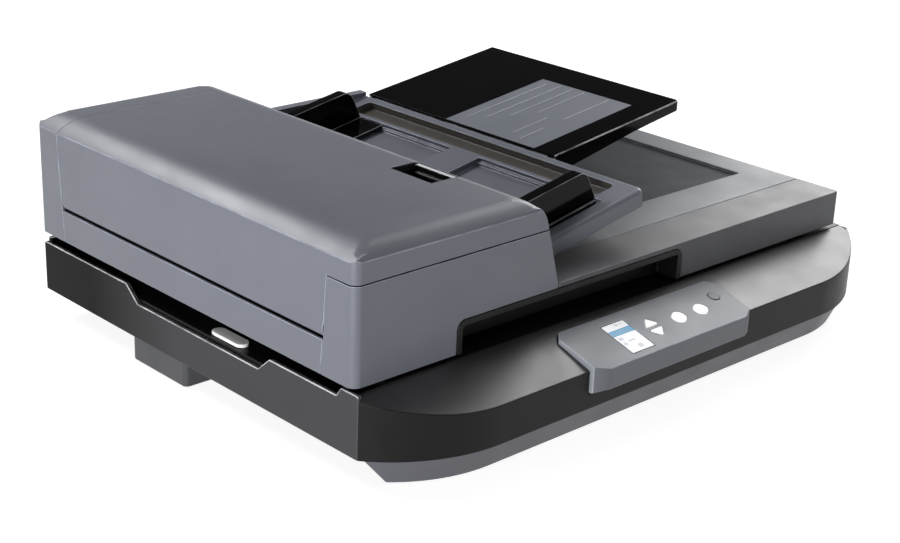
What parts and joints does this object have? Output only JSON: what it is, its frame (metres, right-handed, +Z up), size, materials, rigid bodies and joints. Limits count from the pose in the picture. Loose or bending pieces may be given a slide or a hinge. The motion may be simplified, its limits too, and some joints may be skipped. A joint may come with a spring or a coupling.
{
  "type": "document scanner",
  "caption": "Flatbed document scanner with a hinged lid, a sheet feeder under an opening hatch, a sloping input tray with sliding guides and a folding extension, and a tilted key panel.",
  "frame": {"origin": "on the table, below the middle of the scanner's outline", "axes": "+X to the right along the lid's hinge line, +Y from the key panel towards the hinges, +Z up"},
  "size_m": [0.511, 0.418, 0.1574],
  "materials": {
    "shell_grey": "fine satin texture",
    "base_grey": "fine satin texture",
    "fascia_dark": "smooth satin",
    "gloss_black": "polished",
    "deck_black": "plain",
    "frame_plastic": "plain",
    "white_plastic": "plain",
    "key_dark": "plain",
    "latch_silver": "satin silver",
    "inlay_grey": "ribbed",
    "clear_glass": "clear",
    "rubber_grey": "plain",
    "steel": "brushed",
    "motor_can": "plain",
    "display": "smooth",
    "sensor_black": "smooth",
    "board_green": "plain"
  },
  "bodies": {
    "base": {"base_tub": "deck_black", "case_screws": "steel", "left_panel": "gloss_black", "right_panel": "gloss_black", "rear_panel": "gloss_black", "rear_sockets": "deck_black", "deck_frame": "deck_black", "platen_glass": "clear_glass", "feeder_glass": "clear_glass", "front_fascia": "fascia_dark", "front_skirt": "base_grey", "rear_feet": "base_grey", "foot_pads": "rubber_grey", "guide_rod": "steel", "scan_motor": "motor_can", "drive_belt": "rubber_grey", "main_board": "board_green", "panel_housing": "base_grey", "panel_display": "display", "panel_board": "board_green", "hinge_posts": "deck_black"},
    "lock": {"carriage_lock": "white_plastic"},
    "carriage": {"scan_carriage": "frame_plastic", "image_sensor": "sensor_black"},
    "drive_wheel": {"drive_pulley": "frame_plastic"},
    "idler_wheel": {"idler_pulley": "frame_plastic"},
    "up_button": {"up_key": "white_plastic"},
    "down_button": {"down_key": "white_plastic"},
    "confirm_button": {"confirm_key": "white_plastic"},
    "back_button": {"back_key": "white_plastic"},
    "power_button": {"power_key": "key_dark"},
    "lid": {"hinge_leaves": "steel", "lid_frame": "deck_black", "backing_pad": "white_plastic", "lid_bumpers": "rubber_grey", "lid_cover": "shell_grey", "front_strip": "shell_grey", "grip_bezel": "gloss_black", "front_cheek": "shell_grey", "rear_cap": "shell_grey", "lower_strip": "shell_grey", "feeder_chassis": "frame_plastic", "feeder_motor": "motor_can", "feeder_belt": "rubber_grey"},
    "feeder_hatch": {"hatch": "shell_grey"},
    "latch": {"hatch_latch": "latch_silver"},
    "feed_shaft": {"feed_roller": "rubber_grey"},
    "turn_shaft": {"turn_roller": "rubber_grey"},
    "exit_shaft": {"exit_roller": "rubber_grey"},
    "motor_wheel": {"motor_pulley": "frame_plastic"},
    "scan_backing": {"scan_roller": "rubber_grey"},
    "separator": {"separation_roller": "rubber_grey"},
    "picker": {"pick_arm": "frame_plastic"},
    "pick_wheel": {"pick_roller": "rubber_grey"},
    "tray": {"input_tray": "shell_grey"},
    "extension": {"tray_extension": "gloss_black", "extension_inlay": "inlay_grey"},
    "front_paper_guide": {"front_guide": "gloss_black"},
    "rear_paper_guide": {"rear_guide": "gloss_black"},
    "pinion": {"guide_pinion": "frame_plastic"}
  },
  "joints": [
    {"name": "lock_slide", "type": "slide", "parent": "base", "child": "lock", "axis": [0, 1, 0], "range_m": [0, 0.01]},
    {"name": "carriage_slide", "type": "slide", "parent": "base", "child": "carriage", "axis": [1, 0, 0], "range_m": [0, 0.375]},
    {"name": "drive_turn", "type": "hinge", "parent": "base", "child": "drive_wheel", "pos_m": [0.2225, 0.059, 0.0254], "axis": [0, 0, 1], "range_deg": [-2910, 0]},
    {"name": "idler_turn", "type": "hinge", "parent": "base", "child": "idler_wheel", "pos_m": [-0.2255, 0.059, 0.0254], "axis": [0, 0, 1], "range_deg": [-2910, 0]},
    {"name": "lid_hinge", "type": "hinge", "parent": "base", "child": "lid", "pos_m": [0, 0.205, 0.0704], "axis": [-1, 0, 0], "range_deg": [0, 80]},
    {"name": "hatch_hinge", "type": "hinge", "parent": "lid", "child": "feeder_hatch", "pos_m": [-0.2511, 0.026, 0.0954], "axis": [0, -1, 0], "range_deg": [0, 70]},
    {"name": "latch_turn", "type": "hinge", "parent": "feeder_hatch", "child": "latch", "pos_m": [-0.1119, -0.075, 0.1504], "axis": [0, 1, 0], "range_deg": [0, 10], "stiffness_Nm_per_rad": 0.5, "springref_deg": -2.86},
    {"name": "feed_turn", "type": "hinge", "parent": "lid", "child": "feed_shaft", "pos_m": [-0.1475, 0.026, 0.1174], "axis": [0, 1, 0], "continuous": true},
    {"name": "turn_turn", "type": "hinge", "parent": "lid", "child": "turn_shaft", "pos_m": [-0.2155, 0.026, 0.1174], "axis": [0, 1, 0], "continuous": true},
    {"name": "exit_turn", "type": "hinge", "parent": "lid", "child": "exit_shaft", "pos_m": [-0.0925, 0.026, 0.0884], "axis": [0, 1, 0], "continuous": true},
    {"name": "motor_turn", "type": "hinge", "parent": "lid", "child": "motor_wheel", "pos_m": [-0.1715, 0.185, 0.0884], "axis": [0, 1, 0], "continuous": true},
    {"name": "scan_backing_turn", "type": "hinge", "parent": "lid", "child": "scan_backing", "pos_m": [-0.1965, 0.026, 0.0749], "axis": [0, 1, 0], "continuous": true},
    {"name": "separator_turn", "type": "hinge", "parent": "lid", "child": "separator", "pos_m": [-0.1475, 0.027, 0.1001], "axis": [0, 1, 0], "continuous": true},
    {"name": "picker_swing", "type": "hinge", "parent": "lid", "child": "picker", "pos_m": [-0.1475, 0.027, 0.1174], "axis": [0, -1, 0], "range_deg": [0, 14]},
    {"name": "pick_wheel_turn", "type": "hinge", "parent": "picker", "child": "pick_wheel", "pos_m": [-0.1155, 0.027, 0.1162], "axis": [0, 1, 0], "continuous": true},
    {"name": "tray_hinge", "type": "hinge", "parent": "lid", "child": "tray", "pos_m": [-0.0895, 0.027, 0.1144], "axis": [0, -1, 0], "range_deg": [0, 30]},
    {"name": "extension_hinge", "type": "hinge", "parent": "tray", "child": "extension", "pos_m": [0.0455, 0.071, 0.1266], "axis": [0, -1, 0], "range_deg": [0, 80]},
    {"name": "front_guide_slide", "type": "slide", "parent": "tray", "child": "front_paper_guide", "axis": [0, 1, 0], "range_m": [0, 0.05]},
    {"name": "rear_guide_slide", "type": "slide", "parent": "tray", "child": "rear_paper_guide", "axis": [0, -1, 0], "range_m": [0, 0.05]},
    {"name": "pinion_turn", "type": "hinge", "parent": "tray", "child": "pinion", "pos_m": [-0.03025, 0.021, 0.10772], "axis": [-0.1867, 0, 0.9824], "range_deg": [-720, 0]},
    {"name": "up_press", "type": "slide", "parent": "base", "child": "up_button", "axis": [0, 0.2637, -0.9646], "range_m": [0, 0.0008], "stiffness_N_per_m": 800, "springref_m": -0.0004},
    {"name": "down_press", "type": "slide", "parent": "base", "child": "down_button", "axis": [0, 0.2637, -0.9646], "range_m": [0, 0.0008], "stiffness_N_per_m": 800, "springref_m": -0.0004},
    {"name": "confirm_press", "type": "slide", "parent": "base", "child": "confirm_button", "axis": [0, 0.2637, -0.9646], "range_m": [0, 0.0008], "stiffness_N_per_m": 800, "springref_m": -0.0004},
    {"name": "back_press", "type": "slide", "parent": "base", "child": "back_button", "axis": [0, 0.2637, -0.9646], "range_m": [0, 0.0008], "stiffness_N_per_m": 800, "springref_m": -0.0004},
    {"name": "power_press", "type": "slide", "parent": "base", "child": "power_button", "axis": [0, 0.2637, -0.9646], "range_m": [0, 0.0008], "stiffness_N_per_m": 800, "springref_m": -0.0004}
  ],
  "couplings": [
    {"joint": "drive_turn", "follows": "carriage_slide", "rad_per_m": -135.13},
    {"joint": "idler_turn", "follows": "carriage_slide", "rad_per_m": -135.13},
    {"joint": "turn_turn", "follows": "feed_turn", "ratio": 1},
    {"joint": "exit_turn", "follows": "feed_turn", "ratio": 1},
    {"joint": "motor_turn", "follows": "feed_turn", "ratio": 1.6},
    {"joint": "scan_backing_turn", "follows": "feed_turn", "ratio": -0.9},
    {"joint": "separator_turn", "follows": "feed_turn", "ratio": -1.125},
    {"joint": "pick_wheel_turn", "follows": "feed_turn", "ratio": 1},
    {"joint": "rear_guide_slide", "follows": "front_guide_slide", "ratio": 1},
    {"joint": "pinion_turn", "follows": "front_guide_slide", "rad_per_m": -250}
  ]
}
